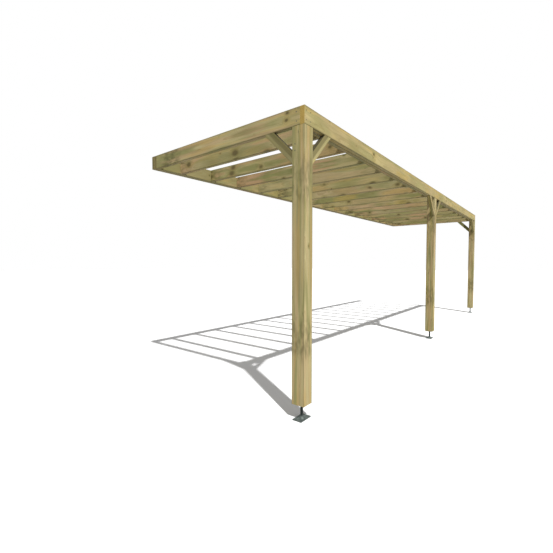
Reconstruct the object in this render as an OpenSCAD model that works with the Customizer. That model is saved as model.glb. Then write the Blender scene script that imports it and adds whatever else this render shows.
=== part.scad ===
// Lean-to pergola: an open timber roof frame between a wall ledger and a row of
// three posts, with knee braces and steel post feet.
// Frame: +X along the wall to the right, +Y into the wall, +Z up.
// The origin is on the ledger's wall face, at mid length and mid height of the ledger.

/* [Overall] */
// Length along the wall, outside to outside
overall_length = 7900; // [5000:10:9000]
// Depth from the wall to the face of the front beam
overall_depth = 2130; // [1500:5:3500]
// Height from the ground to the top of the beams
overall_height = 2520; // [2000:5:3000]

/* [Beams] */
// Thickness of every beam and rafter
beam_thickness = 45; // [35:1:60]
// Depth of every beam and rafter, top to bottom
beam_depth = 145; // [120:1:195]
// Spacing from a side beam's centre to the nearest rafter's centre
end_bay = 327.5; // [200:0.5:400]

/* [Posts] */
// Side of the square posts
post_size = 120; // [100:1:150]
// Height of the posts' feet, ground to the underside of the post
foot_height = 125; // [80:1:160]

/* [Knee braces] */
// Distance from the corner to the brace's upper edge, along the post or the beam
brace_inner_leg = 192; // [120:1:300]
// Width of a brace across its face
brace_width = 70; // [60:1:95]
// Thickness of a brace, front to back
brace_thickness = 45; // [35:1:60]

/* [Post feet] */
// Length of the base plate, along the wall
plate_length = 150; // [140:1:180]
// Width of the base plate, front to back
plate_width = 85; // [80:1:120]
// Thickness of the base plate
plate_thickness = 6; // [4:0.5:10]
// Distance between the bolt holes along the plate
hole_spacing_x = 116; // [90:1:120]
// Distance between the bolt holes across the plate
hole_spacing_y = 50; // [46:1:56]
// Diameter of a bolt hole
hole_diameter = 12; // [9:0.5:14]
// Diameter of the threaded stem
stem_diameter = 24; // [20:1:30]
// Width across the flats of the stem's nut
nut_width = 36; // [32:1:41]
// Height of the nut
nut_height = 19; // [12:1:25]
// Side of the square cap plate under the post
cap_size = 90; // [60:1:100]
// Thickness of the cap plate
cap_thickness = 6; // [4:0.5:10]

/* [Hidden] */
rafter_count = 16;

// Heights, from the origin at the ledger's mid height
z_top = beam_depth / 2;
z_under = -beam_depth / 2;
z_ground = z_top - overall_height;
z_post = z_ground + foot_height;

// Ends along the wall, and the depth of each layer of timber
x_left = -overall_length / 2;
x_right = overall_length / 2;
y_front = -overall_depth;
y_inner = y_front + beam_thickness;
y_rafter_front = y_front + 2 * beam_thickness;
y_rafter_back = -2 * beam_thickness;

// The rafters sit at even centres between the two end bays
x_first = x_left + beam_thickness / 2 + end_bay;
rafter_pitch = (overall_length - beam_thickness - 2 * end_bay) / (rafter_count - 1);

// The brace's lower edge starts this far from the corner, for its width at 45 degrees
brace_outer_leg = brace_inner_leg + brace_width * sqrt(2);

// Post centres
x_left_post = x_left + post_size / 2;
x_right_post = x_right - post_size / 2;
y_post = y_front + post_size / 2;

timber = [0.66, 0.60, 0.42];
pale_timber = [0.74, 0.69, 0.50];
steel = [0.34, 0.37, 0.36];

// A plain board of the frame's depth, from one corner to the other in plan
module board(x0, x1, y0, y1) {
    translate([x0, y0, z_under])
        cube([x1 - x0, y1 - y0, beam_depth]);
}

// A post centred on the origin in plan. Its top is cut back to a tongue: the front
// beam laps over the front, and a side beam over the left or the right side, or none.
module post(left_lap, right_lap) {
    half = post_size / 2;
    translate([-half, -half, z_post])
        cube([post_size, post_size, z_under - z_post]);
    translate([-half + left_lap, -half + beam_thickness, z_under])
        cube([post_size - left_lap - right_lap, post_size - beam_thickness, beam_depth]);
}

// A knee brace in the XZ plane, rising to the right from a post face at x = 0 to a
// beam's underside at z = 0, with mitred ends.
module brace() {
    rotate([90, 0, 0])
        translate([0, 0, -brace_thickness])
            linear_extrude(height = brace_thickness)
                polygon([
                    [0, -brace_outer_leg],
                    [brace_outer_leg, 0],
                    [brace_inner_leg, 0],
                    [0, -brace_inner_leg]
                ]);
}

// A steel foot: a drilled base plate, a threaded stem with its nut, and a cap plate
module foot() {
    difference() {
        translate([-plate_length / 2, -plate_width / 2, 0])
            cube([plate_length, plate_width, plate_thickness]);
        for (x = [-1, 1] * hole_spacing_x / 2)
            for (y = [-1, 1] * hole_spacing_y / 2)
                translate([x, y, -1])
                    cylinder(d = hole_diameter, h = plate_thickness + 2, $fn = 48);
    }
    translate([0, 0, plate_thickness - 1])
        cylinder(d = stem_diameter, h = foot_height - plate_thickness - cap_thickness + 2, $fn = 64);
    translate([0, 0, plate_thickness - 0.5])
        cylinder(d = nut_width / cos(30), h = nut_height + 0.5, $fn = 6);
    translate([-cap_size / 2, -cap_size / 2, foot_height - cap_thickness])
        cube([cap_size, cap_size, cap_thickness]);
}

module wall_ledger() {
    color(timber)
        board(x_left, x_right, -beam_thickness, 0);
}

module inner_ledger() {
    color(timber)
        board(x_left, x_right, y_rafter_back, -beam_thickness);
}

module front_beam() {
    color(pale_timber)
        board(x_left, x_right, y_front, y_inner);
}

module left_inner_front_beam() {
    color(timber)
        board(x_left + post_size, -post_size / 2, y_inner, y_rafter_front);
}

module right_inner_front_beam() {
    color(timber)
        board(post_size / 2, x_right - post_size, y_inner, y_rafter_front);
}

module left_side_beam() {
    color(timber)
        board(x_left, x_left + beam_thickness, y_inner, y_rafter_back);
}

module right_side_beam() {
    color(timber)
        board(x_right - beam_thickness, x_right, y_inner, y_rafter_back);
}

module rafter(number) {
    x = x_first + (number - 1) * rafter_pitch;
    color(timber)
        board(x - beam_thickness / 2, x + beam_thickness / 2, y_rafter_front, y_rafter_back);
}

module left_post() {
    color(timber)
        translate([x_left_post, y_post, 0])
            post(beam_thickness, 0);
}

module middle_post() {
    color(timber)
        translate([0, y_post, 0])
            post(0, 0);
}

module right_post() {
    color(timber)
        translate([x_right_post, y_post, 0])
            post(0, beam_thickness);
}

module left_side_brace() {
    color(timber)
        translate([x_left, y_front + post_size, z_under])
            mirror([1, -1, 0])
                brace();
}

module right_side_brace() {
    color(timber)
        translate([x_right - brace_thickness, y_front + post_size, z_under])
            mirror([1, -1, 0])
                brace();
}

module left_front_brace() {
    color(pale_timber)
        translate([x_left + post_size, y_front, z_under])
            brace();
}

module middle_left_brace() {
    color(pale_timber)
        translate([-post_size / 2, y_front, z_under])
            mirror([1, 0, 0])
                brace();
}

module middle_right_brace() {
    color(pale_timber)
        translate([post_size / 2, y_front, z_under])
            brace();
}

module right_front_brace() {
    color(pale_timber)
        translate([x_right - post_size, y_front, z_under])
            mirror([1, 0, 0])
                brace();
}

module left_post_foot() {
    color(steel)
        translate([x_left_post, y_post, z_ground])
            foot();
}

module middle_post_foot() {
    color(steel)
        translate([0, y_post, z_ground])
            foot();
}

module right_post_foot() {
    color(steel)
        translate([x_right_post, y_post, z_ground])
            foot();
}

wall_ledger();
inner_ledger();
front_beam();
left_inner_front_beam();
right_inner_front_beam();
left_side_beam();
right_side_beam();
rafter(1);  // rafter_01
rafter(2);  // rafter_02
rafter(3);  // rafter_03
rafter(4);  // rafter_04
rafter(5);  // rafter_05
rafter(6);  // rafter_06
rafter(7);  // rafter_07
rafter(8);  // rafter_08
rafter(9);  // rafter_09
rafter(10);  // rafter_10
rafter(11);  // rafter_11
rafter(12);  // rafter_12
rafter(13);  // rafter_13
rafter(14);  // rafter_14
rafter(15);  // rafter_15
rafter(16);  // rafter_16
left_post();
middle_post();
right_post();
left_side_brace();
left_front_brace();
middle_left_brace();
middle_right_brace();
right_front_brace();
right_side_brace();
left_post_foot();
middle_post_foot();
right_post_foot();
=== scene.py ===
"""The finished look of the lean-to pergola: pressure-treated pine on galvanised post feet."""

import math
import random

import bmesh
import bpy
from mathutils import Euler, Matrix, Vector


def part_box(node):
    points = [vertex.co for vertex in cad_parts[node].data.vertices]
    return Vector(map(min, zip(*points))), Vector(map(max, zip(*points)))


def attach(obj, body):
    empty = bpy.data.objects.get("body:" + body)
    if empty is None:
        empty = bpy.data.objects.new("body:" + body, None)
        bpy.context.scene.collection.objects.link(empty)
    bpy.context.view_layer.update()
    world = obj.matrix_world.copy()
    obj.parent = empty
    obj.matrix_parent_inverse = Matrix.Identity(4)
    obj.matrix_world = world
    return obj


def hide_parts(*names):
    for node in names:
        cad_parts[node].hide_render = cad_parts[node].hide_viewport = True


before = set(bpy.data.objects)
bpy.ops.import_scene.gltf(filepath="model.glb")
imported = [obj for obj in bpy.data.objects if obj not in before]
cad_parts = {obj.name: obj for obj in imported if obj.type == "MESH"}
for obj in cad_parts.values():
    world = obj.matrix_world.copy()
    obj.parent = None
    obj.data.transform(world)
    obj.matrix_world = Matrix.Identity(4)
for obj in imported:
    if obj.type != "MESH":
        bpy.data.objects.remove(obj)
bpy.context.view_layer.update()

# ---------------------------------------------------------------- driving values, in metres

TIMBER_ROUNDING = 0.0025         # planed boards have their sharp edges taken off
ROUNDING_STEPS = 3

EYE_HEIGHT = 1.287               # above the ground
EYE_BEFORE_FRONT = 1.512         # in front of the front beam's face
EYE_BESIDE_END = 2.2515          # out to the left of the left end
LOOK_RIGHT = 51.495              # degrees, from straight at the wall
LOOK_DOWN = 2.252                # degrees
LENS = 22.24                     # millimetres, on a 36 mm sensor

SUN_TRAVEL = Vector((0.57, 1.0, -1.70))
SUN_STRENGTH = 3.7
SUN_SPREAD = 1.3                 # degrees across, for slightly soft shadow edges
FILL_TRAVEL = Vector((0.10, 1.0, -0.10))
FILL_STRENGTH = 0.38
FILL_SPREAD = 70.0               # degrees across, so that it throws no shadow of its own
SKY_STRENGTH = 0.33
FLOOR_BOUNCE = 0.30              # how pale the floor is to the timber above it
FLOOR_SIZE = 120.0

BRACE_WIDTH = 0.070              # across its face

SCREW_HEAD = 0.0052              # radius of a countersunk head
SCREW_POCKET = 0.0058            # radius of its pocket at the timber's face
SCREW_SINK = 0.0012              # depth of the head's rim below the face

PLATE_THICKNESS = 0.006
PLATE_CORNER = 0.006             # radius of the base plate's corners
PLATE_CHAMFER = 0.0007
HOLE_RADIUS = 0.006
HOLE_SPACING = Vector((0.116, 0.050))
STEM_RADIUS = 0.012
THREAD_DEPTH = 0.0018
THREAD_PITCH = 0.003             # coarse thread of a 24 mm rod
NUT_ACROSS_FLATS = 0.036
NUT_HEIGHT = 0.019
WELD_RADIUS = 0.032              # of the weld collar round the nut, at the plate
WELD_HEIGHT = 0.017
CAP_SIZE = 0.090
CAP_CORNER = 0.004

rng = random.Random(24)


# ---------------------------------------------------------------- materials

def linear(hex_colour):
    """An sRGB hex colour as a linear colour with alpha."""
    parts = [int(hex_colour[i:i + 2], 16) / 255 for i in (1, 3, 5)]
    spread = [p / 12.92 if p <= 0.04045 else ((p + 0.055) / 1.055) ** 2.4 for p in parts]
    return (*spread, 1.0)


def add(tree, kind, inputs=None, out=0, **settings):
    """Add a node, with a value or another node's output for each input, and return one output."""
    made = tree.nodes.new(kind)
    for name, value in settings.items():
        setattr(made, name, value)
    for socket, value in (inputs or {}).items():
        if isinstance(value, bpy.types.NodeSocket):
            tree.links.new(value, made.inputs[socket])
        else:
            made.inputs[socket].default_value = value
    return made.outputs[out]


MATH = "ShaderNodeMath"
VECTOR = "ShaderNodeVectorMath"
NOISE = "ShaderNodeTexNoise"
RANGE = "ShaderNodeMapRange"
MIX = "ShaderNodeMix"
MIX_FACTOR, MIX_A, MIX_B, MIX_COLOUR = 0, 6, 7, 2    # a colour Mix node's sockets


def new_material(name):
    """A material with an empty node tree and its output node."""
    material = bpy.data.materials.new(name)
    material.use_nodes = True
    tree = material.node_tree
    tree.nodes.clear()
    output = tree.nodes.new("ShaderNodeOutputMaterial")
    return material, tree, output


def board_coordinates(tree, centre, turn):
    """Coordinates of one board, in metres: first along the grain, then through its thickness,
    then across its face, all from the board's middle."""
    place = add(tree, "ShaderNodeTexCoord", out="Object")
    shift = -(turn.to_matrix() @ centre)
    return add(tree, "ShaderNodeMapping", {"Vector": place, "Rotation": turn, "Location": shift})


def knots(tree, grain, cell, through, largest):
    """Knots scattered along a board, one to a cell at most, none wider than the largest radius.
    Returns the distance from the nearest knot's heart as a share of that knot's radius."""
    scaled = add(tree, VECTOR, {0: grain, 1: (1 / cell[0], 1 / cell[1], 1 / cell[2])},
                 operation="MULTIPLY")
    nearest = add(tree, "ShaderNodeTexVoronoi", {"Vector": scaled, "Scale": 1.0}, out="Position")
    draw = nearest.node.outputs["Color"]
    away = add(tree, VECTOR, {0: scaled, 1: nearest}, operation="SUBTRACT")
    squash = (0.7 * cell[0], through * cell[1], cell[2])
    metric = add(tree, VECTOR, {0: away, 1: squash}, operation="MULTIPLY")
    distance = add(tree, VECTOR, {0: metric}, out="Value", operation="LENGTH")
    chance = add(tree, "ShaderNodeSeparateColor", {0: draw})
    radius = add(tree, RANGE, {0: chance, 1: 0.35, 2: 1.0, 3: 0.0002, 4: largest})
    return add(tree, MATH, {0: distance, 1: radius}, operation="DIVIDE")


def dark_patch(tree, along_board, ragged, patch):
    """A darker ragged patch along a board; on rafter_01's front end it is painted shade. patch holds
    the patch's middle and half length along the board, in metres, and its strength."""
    middle, reach, strength = patch
    offset = add(tree, MATH, {0: along_board, 1: middle}, operation="SUBTRACT")
    away = add(tree, MATH, {0: offset}, operation="ABSOLUTE")
    near = add(tree, RANGE, {0: away, 1: reach, 2: 0.4 * reach, 3: 0.0, 4: strength},
               interpolation_type="SMOOTHSTEP")
    return add(tree, MATH, {0: near, 1: ragged}, operation="MULTIPLY")


def treated_pine(name, low, high, turn, look):
    """Pressure-treated pine, planed: straw-coloured wood with a green tinge from the copper treatment,
    in soft olive, tan and pinkish bands that follow the growth rings, with dark knots, fine drying
    splits and a dry, matt face, and with painted shade where look asks for it. look holds one board's
    own choices."""
    material, tree, output = new_material(name)
    centre = (low + high) / 2
    local = board_coordinates(tree, centre, turn)
    grain = add(tree, VECTOR, {0: local, 1: look["offset"]}, operation="ADD")
    apart = add(tree, "ShaderNodeSeparateXYZ", {0: local}).node.outputs

    # growth rings round a pith beside the board, which wander and widen along the tree
    slow = add(tree, VECTOR, {0: grain, 1: (0.9, 6.0, 6.0)}, operation="MULTIPLY")
    wander = add(tree, NOISE, {"Vector": slow, "Scale": 1.0, "Detail": 2.0}, out="Color")
    centred = add(tree, VECTOR, {0: wander, 1: (0.5, 0.5, 0.5)}, operation="SUBTRACT")
    swerve = add(tree, VECTOR, {0: centred, 1: (0.0, 0.060, 0.060)}, operation="MULTIPLY")
    from_pith = add(tree, VECTOR, {0: local, 1: (0.0, *look["pith"])}, operation="SUBTRACT")
    flat = add(tree, VECTOR, {0: from_pith, 1: (0.0, 1.0, 1.0)}, operation="MULTIPLY")
    bent = add(tree, VECTOR, {0: flat, 1: swerve}, operation="ADD")
    radius = add(tree, VECTOR, {0: bent}, out="Value", operation="LENGTH")
    taper = add(tree, MATH, {0: apart["X"], 1: 0.008, 2: radius}, operation="MULTIPLY_ADD")

    knot = knots(tree, grain, look["knot_cell"], look["knot_through"], look["knot_radius"])
    heart = add(tree, RANGE, {0: knot, 1: 1.15, 2: 0.60, 3: 0.0, 4: 1.0})
    rim = add(tree, RANGE, {0: knot, 1: 1.9, 2: 0.9, 3: 0.0, 4: 1.0})
    halo = add(tree, RANGE, {0: knot, 1: 4.2, 2: 1.0, 3: 0.0, 4: 1.0},
               interpolation_type="SMOOTHSTEP")
    around = add(tree, MATH, {0: halo, 1: 0.016, 2: taper}, operation="MULTIPLY_ADD")

    # rings about 5 mm apart: pale early wood that ends in a thin darker line of late wood
    turns = add(tree, MATH, {0: around, 1: 0.0052}, operation="DIVIDE")
    ring = add(tree, MATH, {0: turns}, operation="FRACT")
    late_wood = add(tree, MATH, {0: ring, 1: 3.0}, operation="POWER")

    # bands of colour, 20 to 30 mm wide, that follow the rings
    along = add(tree, MATH, {0: apart["X"], 1: 1.5}, operation="MULTIPLY")
    out_from_pith = add(tree, MATH, {0: around, 1: 34.0}, operation="MULTIPLY")
    bands = add(tree, "ShaderNodeCombineXYZ", {0: along, 1: out_from_pith, 2: look["offset"][0]})
    olive_band = add(tree, NOISE, {"Vector": bands, "Scale": 1.0, "Detail": 3.0})
    olive = add(tree, RANGE, {0: olive_band, 1: 0.44, 2: 0.57, 3: 0.0, 4: look["olive"]})
    bands_beside = add(tree, VECTOR, {0: bands, 1: (17.0, 5.0, 9.0)}, operation="ADD")
    pink_band = add(tree, NOISE, {"Vector": bands_beside, "Scale": 0.8, "Detail": 2.0})
    pink = add(tree, RANGE, {0: pink_band, 1: 0.48, 2: 0.59, 3: 0.0, 4: look["pink"]})
    bands_beyond = add(tree, VECTOR, {0: bands, 1: (31.0, 2.0, 3.0)}, operation="ADD")
    gold_band = add(tree, NOISE, {"Vector": bands_beyond, "Scale": 1.1, "Detail": 2.0})
    gold = add(tree, RANGE, {0: gold_band, 1: 0.51, 2: 0.61, 3: 0.0, 4: look["gold"]})

    # fibres about 2 mm across, drawn coarser than real ones so that they show
    fine = add(tree, VECTOR, {0: grain, 1: (7.0, 420.0, 420.0)}, operation="MULTIPLY")
    fibre = add(tree, NOISE, {"Vector": fine, "Scale": 1.0, "Detail": 3.0})
    blotch_place = add(tree, VECTOR, {0: grain, 1: (2.4, 9.0, 9.0)}, operation="MULTIPLY")
    blotch = add(tree, NOISE, {"Vector": blotch_place, "Scale": 1.0, "Detail": 3.0})

    # drying splits: hair-thin, along the grain, only here and there
    split_place = add(tree, VECTOR, {0: grain, 1: (1.3, 24.0, 24.0)}, operation="MULTIPLY")
    split_field = add(tree, NOISE, {"Vector": split_place, "Scale": 1.0, "Detail": 1.0})
    from_middle = add(tree, MATH, {0: split_field, 1: 0.5}, operation="SUBTRACT")
    off_line = add(tree, MATH, {0: from_middle}, operation="ABSOLUTE")
    line = add(tree, RANGE, {0: off_line, 1: 0.011, 2: 0.003, 3: 0.0, 4: 1.0})
    some = add(tree, RANGE, {0: blotch, 1: 0.54, 2: 0.60, 3: 0.0, 4: look["splits"]})
    split = add(tree, MATH, {0: line, 1: some}, operation="MULTIPLY")

    # distance along a face to the nearest long edge, for the darker, rubbed edges
    half = look["half"]
    thick_side = add(tree, MATH, {0: apart["Y"]}, operation="ABSOLUTE")
    face_side = add(tree, MATH, {0: apart["Z"]}, operation="ABSOLUTE")
    to_thick = add(tree, MATH, {0: half[1], 1: thick_side}, operation="SUBTRACT")
    to_face = add(tree, MATH, {0: half[2], 1: face_side}, operation="SUBTRACT")
    to_edge = add(tree, MATH, {0: to_thick, 1: to_face}, operation="MAXIMUM")
    ragged = add(tree, MATH, {0: blotch, 1: look["rubbed"], 2: -0.001}, operation="MULTIPLY_ADD")
    edge_width = add(tree, MATH, {0: ragged, 1: 0.002}, operation="MAXIMUM")
    edge_share = add(tree, MATH, {0: to_edge, 1: edge_width}, operation="DIVIDE")
    edge = add(tree, RANGE, {0: edge_share, 1: 1.4, 2: 0.2, 3: 0.0, 4: 0.65})

    colour = add(tree, MIX, {MIX_FACTOR: olive, MIX_A: linear(look["straw"]),
                             MIX_B: linear("#86894f")}, out=MIX_COLOUR, data_type="RGBA")
    colour = add(tree, MIX, {MIX_FACTOR: pink, MIX_A: colour, MIX_B: linear("#cfa681")},
                 out=MIX_COLOUR, data_type="RGBA")
    colour = add(tree, MIX, {MIX_FACTOR: gold, MIX_A: colour, MIX_B: linear("#cfb062")},
                 out=MIX_COLOUR, data_type="RGBA")
    late_share = add(tree, MATH, {0: late_wood, 1: 0.42}, operation="MULTIPLY")
    colour = add(tree, MIX, {MIX_FACTOR: late_share, MIX_A: colour, MIX_B: linear("#94804a")},
                 out=MIX_COLOUR, data_type="RGBA")
    shade = add(tree, RANGE, {0: fibre, 1: 0.25, 2: 0.75, 3: 0.86, 4: 1.11})
    cloud = add(tree, RANGE, {0: blotch, 1: 0.3, 2: 0.7, 3: 0.86, 4: 1.10})
    both = add(tree, MATH, {0: shade, 1: cloud}, operation="MULTIPLY")
    colour = add(tree, VECTOR, {0: colour, "Scale": both}, operation="SCALE")
    halo_share = add(tree, MATH, {0: halo, 1: 0.50}, operation="MULTIPLY")
    colour = add(tree, MIX, {MIX_FACTOR: halo_share, MIX_A: colour, MIX_B: linear("#8d8249")},
                 out=MIX_COLOUR, data_type="RGBA")
    rim_share = add(tree, MATH, {0: rim, 1: 0.72}, operation="MULTIPLY")
    colour = add(tree, MIX, {MIX_FACTOR: rim_share, MIX_A: colour, MIX_B: linear("#554a2a")},
                 out=MIX_COLOUR, data_type="RGBA")
    heart_share = add(tree, MATH, {0: heart, 1: 0.85}, operation="MULTIPLY")
    colour = add(tree, MIX, {MIX_FACTOR: heart_share, MIX_A: colour, MIX_B: linear("#6b5f38")},
                 out=MIX_COLOUR, data_type="RGBA")
    colour = add(tree, MIX, {MIX_FACTOR: edge, MIX_A: colour, MIX_B: linear("#6e6640")},
                 out=MIX_COLOUR, data_type="RGBA")

    # sawn ends: the rings show as arcs in darker, thirstier wood
    facing = add(tree, "ShaderNodeNewGeometry", out="Normal")
    grain_way = turn.to_matrix().inverted() @ Vector((1.0, 0.0, 0.0))
    square_on = add(tree, VECTOR, {0: facing, 1: grain_way}, out="Value",
                    operation="DOT_PRODUCT")
    end_face = add(tree, MATH, {0: square_on}, operation="ABSOLUTE")
    is_end = add(tree, RANGE, {0: end_face, 1: 0.80, 2: 0.92, 3: 0.0, 4: 1.0})
    end_colour = add(tree, MIX, {MIX_FACTOR: late_wood, MIX_A: linear(look["end"][0]),
                                 MIX_B: linear(look["end"][1])},
                     out=MIX_COLOUR, data_type="RGBA")
    end_clouded = add(tree, VECTOR, {0: end_colour, "Scale": both}, operation="SCALE")
    colour = add(tree, MIX, {MIX_FACTOR: is_end, MIX_A: colour, MIX_B: end_clouded},
                 out=MIX_COLOUR, data_type="RGBA")

    # darker ragged patches along some boards, painted shade at rafter_01's front end, and painted
    # shade on the upper faces of the braces
    spots_place = add(tree, VECTOR, {0: grain, 1: (13.0, 34.0, 34.0)}, operation="MULTIPLY")
    spots = add(tree, NOISE, {"Vector": spots_place, "Scale": 1.0, "Detail": 2.0})
    ragged_patch = add(tree, RANGE, {0: spots, 1: 0.38, 2: 0.64, 3: 0.1, 4: 1.0})
    for patch in look["dark_patches"]:
        darkened = dark_patch(tree, apart["X"], ragged_patch, patch)
        colour = add(tree, MIX, {MIX_FACTOR: darkened, MIX_A: colour, MIX_B: linear("#4c4c29")},
                     out=MIX_COLOUR, data_type="RGBA")
    # painted shade: faces that look upwards are darkened to near black, as strongly as look asks,
    # which only the braces do
    upward = add(tree, "ShaderNodeSeparateXYZ", {0: facing}, out="Z")
    painted_top_shade = add(tree, RANGE, {0: upward, 1: 0.45, 2: 0.62, 3: 0.0, 4: look["painted_top_shade"]})
    colour = add(tree, MIX, {MIX_FACTOR: painted_top_shade, MIX_A: colour, MIX_B: linear("#2c2817")},
                 out=MIX_COLOUR, data_type="RGBA")
    split_share = add(tree, MATH, {0: split, 1: 0.75}, operation="MULTIPLY")
    colour = add(tree, MIX, {MIX_FACTOR: split_share, MIX_A: colour, MIX_B: linear("#4a3d24")},
                 out=MIX_COLOUR, data_type="RGBA")

    # late wood stands about 0.1 mm proud of early wood, and splits are 1 mm deep
    ridge = add(tree, MATH, {0: late_wood, 1: 0.12}, operation="MULTIPLY")
    furry = add(tree, MATH, {0: fibre, 1: 0.35, 2: ridge}, operation="MULTIPLY_ADD")
    height = add(tree, MATH, {0: split, 1: -1.0, 2: furry}, operation="MULTIPLY_ADD")
    bump = add(tree, "ShaderNodeBump", {"Height": height, "Strength": 0.8, "Distance": 0.001})
    rough = add(tree, RANGE, {0: fibre, 1: 0.3, 2: 0.7, 3: 0.88, 4: 0.72})
    knot_rough = add(tree, MATH, {0: heart, 1: -0.18, 2: rough}, operation="MULTIPLY_ADD")
    shader = add(tree, "ShaderNodeBsdfPrincipled", {
        "Base Color": colour, "Roughness": knot_rough, "Normal": bump, "IOR": 1.5,
        "Specular IOR Level": 0.3})
    tree.links.new(shader, output.inputs["Surface"])
    return material


def galvanised_steel(name, pale, dark, spangle):
    """Hot-dip galvanised steel, weathered: dull grey-green zinc in faint crystals some millimetres
    across, and duller in patches."""
    material, tree, output = new_material(name)
    place = add(tree, "ShaderNodeTexCoord", out="Object")
    crystal = add(tree, "ShaderNodeTexVoronoi", {"Vector": place, "Scale": 1 / spangle},
                  out="Color")
    crystal_tone = add(tree, "ShaderNodeSeparateColor", {0: crystal})
    cloud = add(tree, NOISE, {"Vector": place, "Scale": 45.0, "Detail": 4.0})
    tone = add(tree, MATH, {0: crystal_tone, 1: 0.35, 2: cloud}, operation="MULTIPLY_ADD")
    share = add(tree, RANGE, {0: tone, 1: 0.35, 2: 1.0, 3: 0.0, 4: 1.0})
    colour = add(tree, MIX, {MIX_FACTOR: share, MIX_A: linear(dark), MIX_B: linear(pale)},
                 out=MIX_COLOUR, data_type="RGBA")
    grit = add(tree, NOISE, {"Vector": place, "Scale": 900.0, "Detail": 2.0})
    rough = add(tree, RANGE, {0: cloud, 1: 0.3, 2: 0.7, 3: 0.66, 4: 0.82})
    bump = add(tree, "ShaderNodeBump", {"Height": grit, "Strength": 0.5, "Distance": 0.0003})
    shader = add(tree, "ShaderNodeBsdfPrincipled", {
        "Base Color": colour, "Roughness": rough, "Normal": bump, "Metallic": 0.9})
    tree.links.new(shader, output.inputs["Surface"])
    return material


def pale_floor(name):
    """A plain white floor to the eye, which keeps shadows and throws a calm light back up."""
    material, tree, output = new_material(name)
    seen = add(tree, "ShaderNodeLightPath", out="Is Camera Ray")
    glossy = seen.node.outputs["Is Glossy Ray"]
    through = seen.node.outputs["Is Transmission Ray"]
    first = add(tree, MATH, {0: seen, 1: glossy}, operation="MAXIMUM")
    white = add(tree, MATH, {0: first, 1: through}, operation="MAXIMUM")
    colour = add(tree, MIX, {MIX_FACTOR: white, MIX_A: (*[FLOOR_BOUNCE] * 3, 1.0),
                             MIX_B: (1.0, 1.0, 1.0, 1.0)}, out=MIX_COLOUR, data_type="RGBA")
    shader = add(tree, "ShaderNodeBsdfDiffuse", {"Color": colour})
    tree.links.new(shader, output.inputs["Surface"])
    return material


# ---------------------------------------------------------------- the timber's looks

ALONG_X = Euler((0.0, 0.0, 0.0))
ALONG_Y = Euler((0.0, 0.0, math.radians(-90)))
ALONG_Z = Euler((0.0, math.radians(90), 0.0))
RISING_RIGHT = Euler((0.0, math.radians(45), 0.0))
RISING_LEFT = Euler((0.0, math.radians(-45), 0.0))
RISING_BACK = Euler((math.radians(-45), 0.0, math.radians(-90)))

# each kind's straw colours; the ledger's and the side brace's are darker as painted shade, for boards
# that stand in shade, and the side brace's is also greener
STRAWS = {
    "rafter": ["#c1b584", "#bcaf7a", "#c3b686", "#b9af7c"],
    "side_beam": ["#c4b784"],
    "front_beam": ["#c2b27c"],
    "ledger": ["#9f9566"],
    "post": ["#cbbd8a"],
    "front_brace": ["#c0b47e"],
    "side_brace": ["#969a6a"],
}
AMBER_END = ("#c9ab5c", "#9c7f3c")
OLIVE_END = ("#857a4b", "#655b36")


def board_look(kind, length):
    """One board's own choices of colour, pith, knots, darker patches and painted shade."""
    look = {
        "offset": [rng.uniform(-20, 20) for _ in range(3)],
        "straw": rng.choice(STRAWS[kind]),
        "olive": rng.uniform(0.45, 0.9),
        "pink": rng.uniform(0.25, 0.8),
        "gold": rng.uniform(0.1, 0.5),
        "pith": (rng.choice([-1, 1]) * rng.uniform(0.05, 0.11), rng.uniform(-0.04, 0.04)),
        "knot_cell": (0.42, 0.16, 0.11),
        "knot_through": 0.22,
        "knot_radius": 0.012,
        "splits": 0.6,
        "rubbed": 0.018,
        "end": AMBER_END if kind == "front_beam" else OLIVE_END,
        "dark_patches": [],
        "painted_top_shade": 0.0,
    }
    if kind == "post":
        look["pith"] = (rng.choice([-1, 1]) * rng.uniform(0.08, 0.11), rng.uniform(0.03, 0.06))
        look["knot_cell"] = (0.38, 0.13, 0.13)
        look["knot_through"] = 0.9
        look["splits"] = 0.8
        look["rubbed"] = 0.010
        look["pink"] *= 0.55
        look["dark_patches"] = [(0.66 + rng.uniform(-0.05, 0.05), 0.26, 0.4),
                          (-0.61 + rng.uniform(-0.05, 0.05), 0.22, 0.5)]
    if kind == "front_beam":
        look["pink"] = 0.15
        look["gold"] = 0.42
        look["olive"] = 0.42
    if kind == "rafter":
        look["knot_radius"] = 0.024
        look["dark_patches"] = [(length / 2 - 0.10, 0.15, rng.uniform(0.3, 0.85))]
    if kind == "side_beam":
        look["dark_patches"] = [(length / 2 - 0.27, 0.22, 0.65)]
    # the braces get painted shade on their upper faces
    if kind in ("front_brace", "side_brace"):
        look["painted_top_shade"] = 0.88
        look["pink"] *= 0.3
    return look


def half_section(thickness, width):
    """Half sizes of a board's section, in its own coordinates. Its length isn't used."""
    return (0.0, thickness / 2, width / 2)


def round_edges(board):
    """Join the board's faces into one skin and round its edges."""
    weld = board.modifiers.new("one_skin", "WELD")
    weld.merge_threshold = 0.00005
    plain = board.modifiers.new("plain_faces", "DECIMATE")
    plain.decimate_type = "DISSOLVE"
    plain.angle_limit = math.radians(1)
    bevel = board.modifiers.new("rounded_edges", "BEVEL")
    bevel.width = TIMBER_ROUNDING
    bevel.segments = ROUNDING_STEPS
    bevel.limit_method = "ANGLE"
    bevel.angle_limit = math.radians(30)


def dress_board(node, turn, kind, thickness, width):
    """Give one CAD board its own pine and rounded edges."""
    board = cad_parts[node]
    low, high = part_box(node)
    reach = high - low
    look = board_look(kind, max(reach))
    look["half"] = half_section(thickness, width)
    # painted shade: rafter_01's front end, seen past the near post under the front beam, is darkened
    if node == "rafter_01":
        look["dark_patches"].append((-reach.y / 2, 0.22, 0.9))
    material = treated_pine("treated_pine_" + node, low, high, turn, look)
    for slot in board.material_slots:
        slot.material = material
    round_edges(board)


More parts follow.
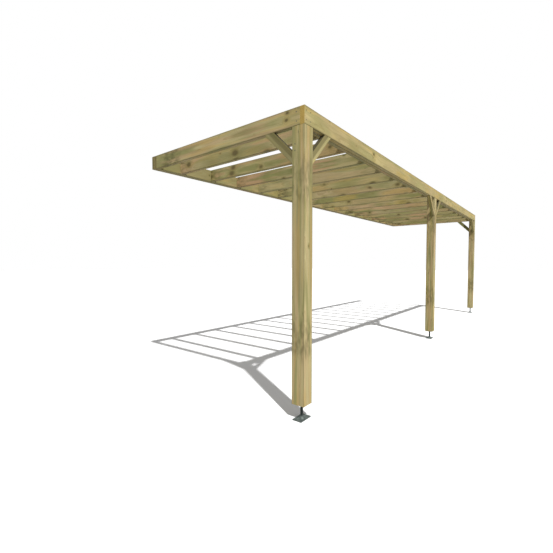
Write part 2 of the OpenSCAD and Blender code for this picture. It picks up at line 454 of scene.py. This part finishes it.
def dress_timber():
    """Every board, post and brace, each with the grain along its own length."""
    low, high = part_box("front_beam")
    thickness = high.y - low.y
    depth = high.z - low.z
    post_low, post_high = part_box("middle_post")
    post_size = post_high.x - post_low.x
    # the ledgers' darker straw is painted shade
    for node in ("wall_ledger", "inner_ledger"):
        dress_board(node, ALONG_X, "ledger", thickness, depth)
    dress_board("front_beam", ALONG_X, "front_beam", thickness, depth)
    # the inner front beams take the ledgers' darker straw, which is painted shade
    for node in ("left_inner_front_beam", "right_inner_front_beam"):
        dress_board(node, ALONG_X, "ledger", thickness, depth)
    for node in ("left_side_beam", "right_side_beam"):
        dress_board(node, ALONG_Y, "side_beam", thickness, depth)
    for number in range(1, 17):
        dress_board(f"rafter_{number:02d}", ALONG_Y, "rafter", thickness, depth)
    for node in ("left_post", "middle_post", "right_post"):
        dress_board(node, ALONG_Z, "post", post_size, post_size)
    for node in ("left_front_brace", "middle_right_brace"):
        dress_board(node, RISING_RIGHT, "front_brace", thickness, BRACE_WIDTH)
    for node in ("middle_left_brace", "right_front_brace"):
        dress_board(node, RISING_LEFT, "front_brace", thickness, BRACE_WIDTH)
    # the side braces' darker straw is painted shade
    for node in ("left_side_brace", "right_side_brace"):
        dress_board(node, RISING_BACK, "side_brace", thickness, BRACE_WIDTH)


# ---------------------------------------------------------------- steel feet

def turned_solid(work, centre, levels, sides, radius_at):
    """A closed solid round a vertical axis. radius_at gives its radius at an angle and height."""
    rings = []
    for z in levels:
        ring = []
        for i in range(sides):
            angle = 2 * math.pi * i / sides
            r = radius_at(angle, z)
            ring.append(work.verts.new(centre + Vector((r * math.cos(angle), r * math.sin(angle), z))))
        rings.append(ring)
    for below, above in zip(rings, rings[1:]):
        for i in range(sides):
            j = (i + 1) % sides
            work.faces.new((below[i], below[j], above[j], above[i]))
    work.faces.new(list(reversed(rings[0])))
    work.faces.new(rings[-1])


def rounded_rectangle(half_x, half_y, corner, inset):
    """Points round a rectangle with round corners, drawn in by inset."""
    radius = corner - inset
    points = []
    for quarter, (sx, sy) in enumerate(((1, 1), (-1, 1), (-1, -1), (1, -1))):
        middle = Vector((sx * (half_x - corner), sy * (half_y - corner)))
        for step in range(7):
            angle = math.pi / 2 * (quarter + step / 6)
            points.append(middle + radius * Vector((math.cos(angle), math.sin(angle))))
    return points


def circle(centre, radius, sides=36):
    """Points round a circle."""
    angles = [2 * math.pi * i / sides for i in range(sides)]
    return [centre + radius * Vector((math.cos(a), math.sin(a))) for a in angles]


def drilled_plate(work, centre, half_x, half_y, corner, holes, thickness):
    """A flat plate with round corners, lightly chamfered edges and round holes."""
    levels = ((0.0, PLATE_CHAMFER), (PLATE_CHAMFER, 0.0),
              (thickness - PLATE_CHAMFER, 0.0), (thickness, PLATE_CHAMFER))
    loops = []
    for z, inset in levels:
        outlines = [rounded_rectangle(half_x, half_y, corner, inset)]
        outlines += [circle(hole, HOLE_RADIUS + inset) for hole in holes]
        loops.append([[work.verts.new(centre + Vector((p.x, p.y, z))) for p in outline]
                      for outline in outlines])
    for below, above in zip(loops, loops[1:]):
        for low_ring, high_ring in zip(below, above):
            for i in range(len(low_ring)):
                j = (i + 1) % len(low_ring)
                work.faces.new((low_ring[i], low_ring[j], high_ring[j], high_ring[i]))
    for rings in (loops[0], loops[-1]):
        edges = [work.edges.get((ring[i], ring[(i + 1) % len(ring)]))
                 for ring in rings for i in range(len(ring))]
        bmesh.ops.triangle_fill(work, use_beauty=True, edges=edges)


def thread_radius(angle, z):
    """Radius of a screw thread's flank at an angle and height."""
    turn_share = (z / THREAD_PITCH - angle / (2 * math.pi)) % 1.0
    return STEM_RADIUS - THREAD_DEPTH * abs(2 * turn_share - 1)


def nut_radius(angle, z):
    """Radius of a hexagon nut whose corners are turned off at the top and bottom."""
    flat = NUT_ACROSS_FLATS / 2
    across = flat / math.cos((angle + math.pi / 6) % (math.pi / 3) - math.pi / 6)
    from_end = min(z, NUT_HEIGHT - z)
    return min(across, flat * 0.97 + from_end * 1.9)


def weld_radius(angle, z):
    """Radius of the weld collar, which sweeps in from the plate to the nut's flats."""
    top = NUT_ACROSS_FLATS / 2
    return top + (WELD_RADIUS - top) * (1 - z / WELD_HEIGHT) ** 1.6


def finish_mesh(name, work, *materials):
    """Turn a bmesh into a piece that rides on the frame, smooth except at its sharp edges."""
    bmesh.ops.recalc_face_normals(work, faces=work.faces)
    for edge in work.edges:
        if len(edge.link_faces) == 2 and edge.calc_face_angle() > math.radians(28):
            edge.smooth = False
    for face in work.faces:
        face.smooth = True
    mesh = bpy.data.meshes.new(name)
    work.to_mesh(mesh)
    work.free()
    for material in materials:
        mesh.materials.append(material)
    piece = bpy.data.objects.new(name, mesh)
    bpy.context.scene.collection.objects.link(piece)
    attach(piece, "root")
    return piece


def post_foot(side, steel, stem_steel):
    """One post's steel foot: base plate with four holes, threaded stem, nut and cap plate."""
    node = side + "_post_foot"
    low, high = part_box(node)
    middle = (low + high) / 2
    base = Vector((middle.x, middle.y, low.z))
    work = bmesh.new()
    holes = [Vector((sx * HOLE_SPACING.x / 2, sy * HOLE_SPACING.y / 2))
             for sx in (-1, 1) for sy in (-1, 1)]
    drilled_plate(work, base, (high.x - low.x) / 2, (high.y - low.y) / 2,
                  PLATE_CORNER, holes, PLATE_THICKNESS)
    cap_base = Vector((middle.x, middle.y, high.z - PLATE_THICKNESS))
    drilled_plate(work, cap_base, CAP_SIZE / 2, CAP_SIZE / 2, CAP_CORNER, [], PLATE_THICKNESS)

    stem_low = Vector((middle.x, middle.y, low.z + PLATE_THICKNESS / 2))
    stem_length = high.z - low.z - PLATE_THICKNESS
    steps = round(stem_length / THREAD_PITCH * 6)
    levels = [stem_length * i / steps for i in range(steps + 1)]
    plates = len(work.faces)
    turned_solid(work, stem_low, levels, 30, thread_radius)
    work.faces.ensure_lookup_table()
    for face in work.faces[plates:]:
        face.material_index = 1

    nut_low = Vector((middle.x, middle.y, low.z + PLATE_THICKNESS))
    chamfer = [0.0, 0.0006, 0.0012, 0.0018, 0.0024]
    levels = chamfer + [NUT_HEIGHT - z for z in reversed(chamfer)]
    turned_solid(work, nut_low, levels, 72, nut_radius)
    collar_low = Vector((middle.x, middle.y, low.z + PLATE_THICKNESS - 0.0005))
    levels = [WELD_HEIGHT * step / 6 for step in range(7)]
    turned_solid(work, collar_low, levels, 48, weld_radius)

    piece = finish_mesh(node + "_steel", work, steel, stem_steel)
    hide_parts(node)


# ---------------------------------------------------------------- screws

def screw_heads(name, places, outward, steel):
    """Countersunk screw heads with a hexagon socket, joined into one piece. places are points
    on the timber's face and outward is the way that face looks."""
    work = bmesh.new()
    spin = Vector((0, 0, 1)).rotation_difference(outward)
    profile = [(0.0, -0.0045), (SCREW_HEAD * 0.55, -0.0045), (SCREW_HEAD, -0.0006),
               (SCREW_HEAD * 0.96, -0.0001), (SCREW_HEAD * 0.55, 0.0)]
    socket = [(SCREW_HEAD * 0.42, -0.0002), (SCREW_HEAD * 0.38, -0.0020)]
    sides = 24
    for place in places:
        seat = place - outward * SCREW_SINK
        rings = []
        for radius, height in profile[1:] + socket:
            ring = []
            for i in range(sides):
                angle = 2 * math.pi * i / sides
                reach = radius
                if (radius, height) in socket:
                    reach = radius * (1 + 0.12 * math.cos(6 * angle))
                point = Vector((reach * math.cos(angle), reach * math.sin(angle), height))
                ring.append(work.verts.new(seat + spin @ point))
            rings.append(ring)
        for below, above in zip(rings, rings[1:]):
            for i in range(sides):
                j = (i + 1) % sides
                work.faces.new((below[i], below[j], above[j], above[i]))
        work.faces.new(list(reversed(rings[0])))
        work.faces.new(rings[-1])
    piece = finish_mesh(name, work, steel)


def screw_pockets(node, places, outward):
    """Cut a shallow round pocket into a board at each place, for a screw head to sit in."""
    work = bmesh.new()
    spin = Vector((0, 0, 1)).rotation_difference(outward)
    sides = 24
    bore = SCREW_HEAD * 1.02
    flare = (SCREW_POCKET - bore) / SCREW_SINK
    above_face = 0.0020
    profile = ((bore, -0.0060), (bore, -SCREW_SINK), (SCREW_POCKET + flare * above_face, above_face))
    for place in places:
        rings = []
        for radius, height in profile:
            ring = []
            for i in range(sides):
                angle = 2 * math.pi * i / sides
                point = Vector((radius * math.cos(angle), radius * math.sin(angle), height))
                ring.append(work.verts.new(place + spin @ point))
            rings.append(ring)
        for below, above in zip(rings, rings[1:]):
            for i in range(sides):
                j = (i + 1) % sides
                work.faces.new((below[i], below[j], above[j], above[i]))
        work.faces.new(list(reversed(rings[0])))
        work.faces.new(rings[-1])
    bmesh.ops.recalc_face_normals(work, faces=work.faces)
    mesh = bpy.data.meshes.new(node + "_pockets")
    work.to_mesh(mesh)
    work.free()
    cutter = bpy.data.objects.new(node + "_pockets", mesh)
    bpy.context.scene.collection.objects.link(cutter)
    cutter.hide_render = True
    cutter.hide_viewport = True
    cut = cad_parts[node].modifiers.new("screw_pockets", "BOOLEAN")
    cut.operation = "DIFFERENCE"
    cut.solver = "EXACT"
    cut.object = cutter


def fasten(name, node, places, outward, steel):
    """Screws into one board: their pockets and their heads."""
    screw_pockets(node, places, outward)
    screw_heads(name, places, outward, steel)


def screws(steel):
    """The screws that show: front beam to posts, side beams to posts, and brace fixings."""
    beam_low, beam_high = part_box("front_beam")
    front = Vector((0, -1, 0))
    from_corner = (0.025, 0.088)
    from_edge = 0.036
    levels = (beam_high.z - from_edge, beam_low.z + from_edge)
    half_gap = (from_corner[1] - from_corner[0]) / 2
    columns = [beam_low.x + d for d in from_corner]
    columns += [-half_gap, half_gap]
    columns += [beam_high.x - d for d in from_corner]
    places = [Vector((x, beam_low.y, z)) for x in columns for z in levels]
    fasten("front_beam_screws", "front_beam", places, front, steel)

    for side, sign in (("left", -1), ("right", 1)):
        outward = Vector((sign, 0, 0))
        face = beam_low.x if sign < 0 else beam_high.x
        y = beam_low.y + 0.080
        places = [Vector((face, y, z)) for z in levels]
        fasten(side + "_side_beam_screws", side + "_side_beam", places, outward, steel)
        post_low, post_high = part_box(side + "_post")
        y = post_high.y - 0.028
        places = [Vector((face, y, beam_low.z - drop)) for drop in (0.140, 0.190)]
        fasten(side + "_post_screws", side + "_post", places, outward, steel)


# ---------------------------------------------------------------- floor, light and camera

def floor_and_light():
    """A plain floor under the posts, a soft sun from the front left, and an even pale sky."""
    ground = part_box("left_post_foot")[0].z
    work = bmesh.new()
    bmesh.ops.create_grid(work, x_segments=1, y_segments=1, size=FLOOR_SIZE / 2)
    mesh = bpy.data.meshes.new("floor")
    work.to_mesh(mesh)
    work.free()
    mesh.materials.append(pale_floor("white_floor"))
    floor = bpy.data.objects.new("floor", mesh)
    floor.location.z = ground
    bpy.context.scene.collection.objects.link(floor)

    for name, travel, strength, spread in (("sun", SUN_TRAVEL, SUN_STRENGTH, SUN_SPREAD),
                                           ("fill", FILL_TRAVEL, FILL_STRENGTH, FILL_SPREAD)):
        light = bpy.data.lights.new(name, "SUN")
        light.energy = strength
        light.angle = math.radians(spread)
        lamp = bpy.data.objects.new(name, light)
        lamp.rotation_mode = "QUATERNION"
        lamp.rotation_quaternion = travel.to_track_quat("-Z", "Y")
        bpy.context.scene.collection.objects.link(lamp)

    world = bpy.data.worlds.new("sky")
    world.use_nodes = True
    tree = world.node_tree
    tree.nodes.clear()
    output = tree.nodes.new("ShaderNodeOutputWorld")
    seen = add(tree, "ShaderNodeLightPath", out="Is Camera Ray")
    glossy = seen.node.outputs["Is Glossy Ray"]
    through = seen.node.outputs["Is Transmission Ray"]
    first = add(tree, MATH, {0: seen, 1: glossy}, operation="MAXIMUM")
    white = add(tree, MATH, {0: first, 1: through}, operation="MAXIMUM")
    strength = add(tree, RANGE, {0: white, 1: 0.0, 2: 1.0, 3: SKY_STRENGTH, 4: 1.0})
    light = add(tree, "ShaderNodeBackground", {"Color": (1.0, 1.0, 1.0, 1.0),
                                               "Strength": strength})
    tree.links.new(light, output.inputs["Surface"])
    bpy.context.scene.world = world


def place_camera():
    """The eye stands out past the left end, a little in front, and looks along the pergola."""
    beam_low, beam_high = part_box("front_beam")
    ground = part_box("left_post_foot")[0].z
    lens = bpy.data.cameras.new("camera")
    lens.lens = LENS
    lens.sensor_width = 36
    lens.clip_end = 500
    camera = bpy.data.objects.new("camera", lens)
    camera.location = (beam_low.x - EYE_BESIDE_END, beam_low.y - EYE_BEFORE_FRONT,
                       ground + EYE_HEIGHT)
    camera.rotation_euler = (math.radians(90 - LOOK_DOWN), 0.0, math.radians(-LOOK_RIGHT))
    bpy.context.scene.collection.objects.link(camera)
    bpy.context.scene.camera = camera


# ---------------------------------------------------------------- everything

bpy.context.scene.view_settings.view_transform = "Standard"
place_camera()
floor_and_light()
dress_timber()
foot_finish = galvanised_steel("galvanised_steel", "#7a837e", "#505754", 0.007)
stem_finish = galvanised_steel("dark_zinc_steel", "#525856", "#343a38", 0.004)
screw_finish = galvanised_steel("zinc_plated_steel", "#8d8c80", "#5f5e55", 0.002)
for foot_side in ("left", "middle", "right"):
    post_foot(foot_side, foot_finish, stem_finish)
screws(screw_finish)
